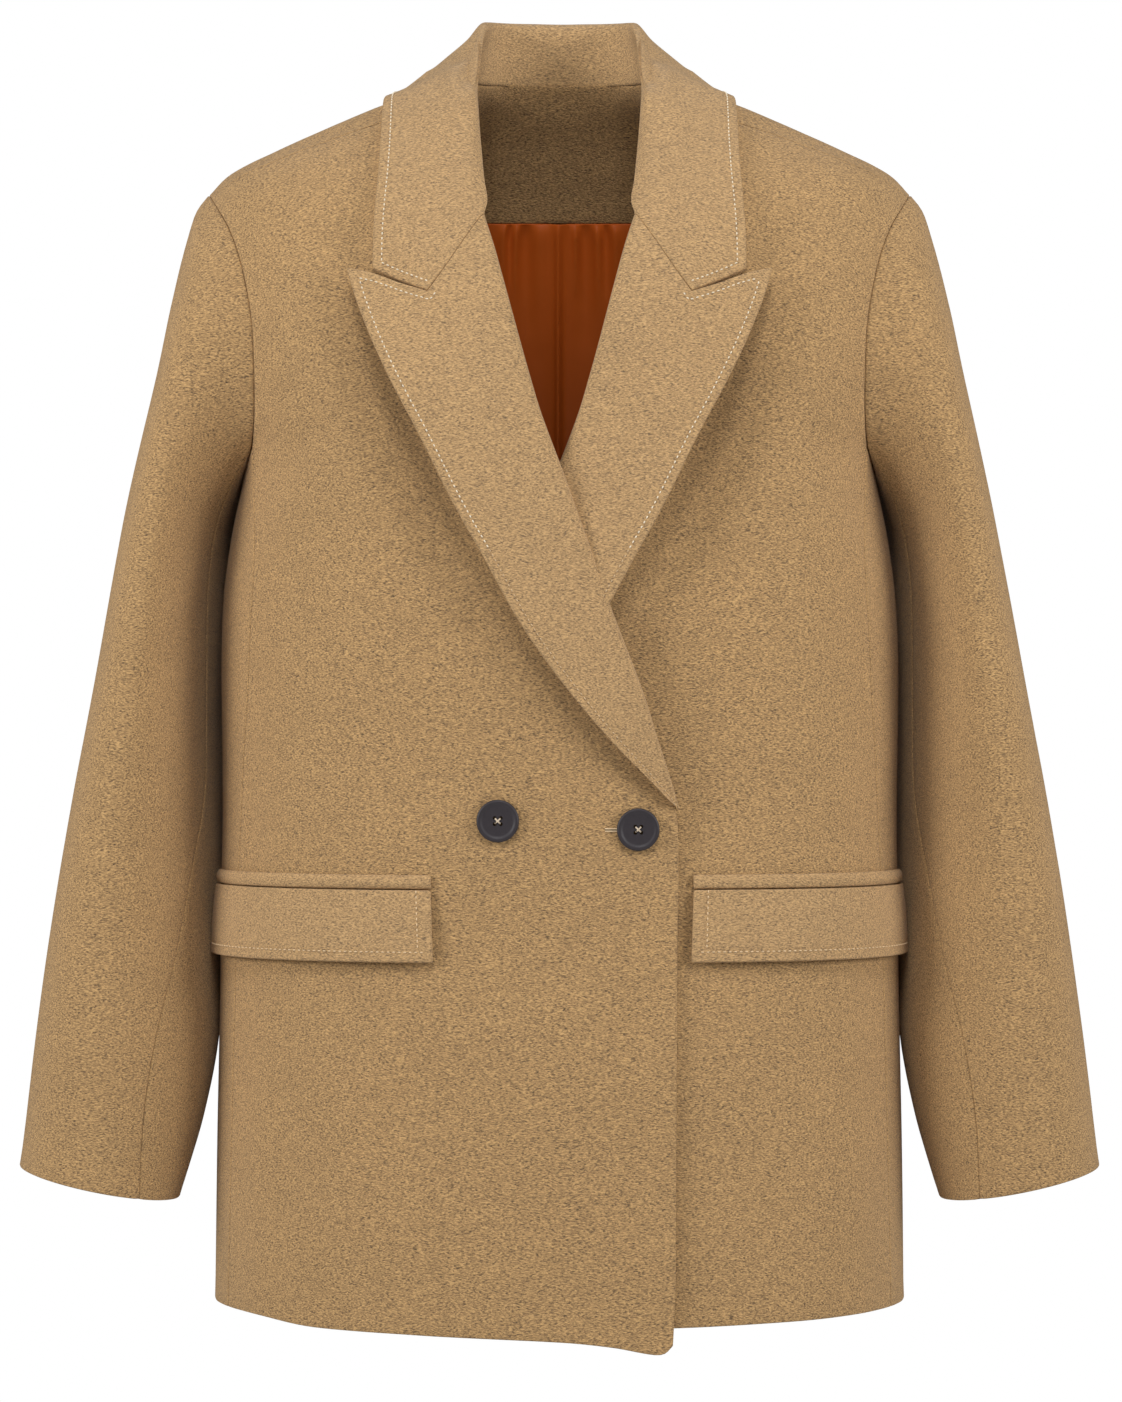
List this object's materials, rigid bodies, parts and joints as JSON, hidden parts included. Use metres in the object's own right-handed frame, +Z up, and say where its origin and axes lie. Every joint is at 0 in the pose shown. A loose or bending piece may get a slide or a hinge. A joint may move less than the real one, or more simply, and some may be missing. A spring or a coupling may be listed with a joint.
{
  "type": "double-breasted coat",
  "caption": "Short double-breasted wool coat with peaked lapels, turned collar, flap pockets and set-in sleeves, filled out as worn with open neck, cuffs and hem.",
  "frame": {"origin": "midway between the two points where the shoulders meet the neck, where a wearer's shoulders carry the coat", "axes": "+Z up as worn, -Y out of the coat's front, +X towards the wearer's left"},
  "size_m": [0.7312, 0.2592, 0.9056],
  "materials": {
    "wool": "camel wool cloth with a short nap, heathered, matt",
    "lining": "rust-orange satin, soft sheen",
    "button": "near-black, satin matt"
  },
  "bodies": {
    "root": {"front_right": "wool", "front_left": "wool", "side_panel_right": "wool", "side_panel_left": "wool", "back": "wool", "lapel_right": "wool", "lapel_left": "wool", "collar": "wool", "back_neck_facing": "wool", "upper_sleeve_right": "wool", "upper_sleeve_left": "wool", "under_sleeve_right": "wool", "under_sleeve_left": "wool", "pocket_jet_right": "wool", "pocket_jet_left": "wool", "pocket_flap_right": "wool", "pocket_flap_left": "wool", "lining": "lining", "button_right": "button", "button_left": "button"}
  },
  "joints": []
}
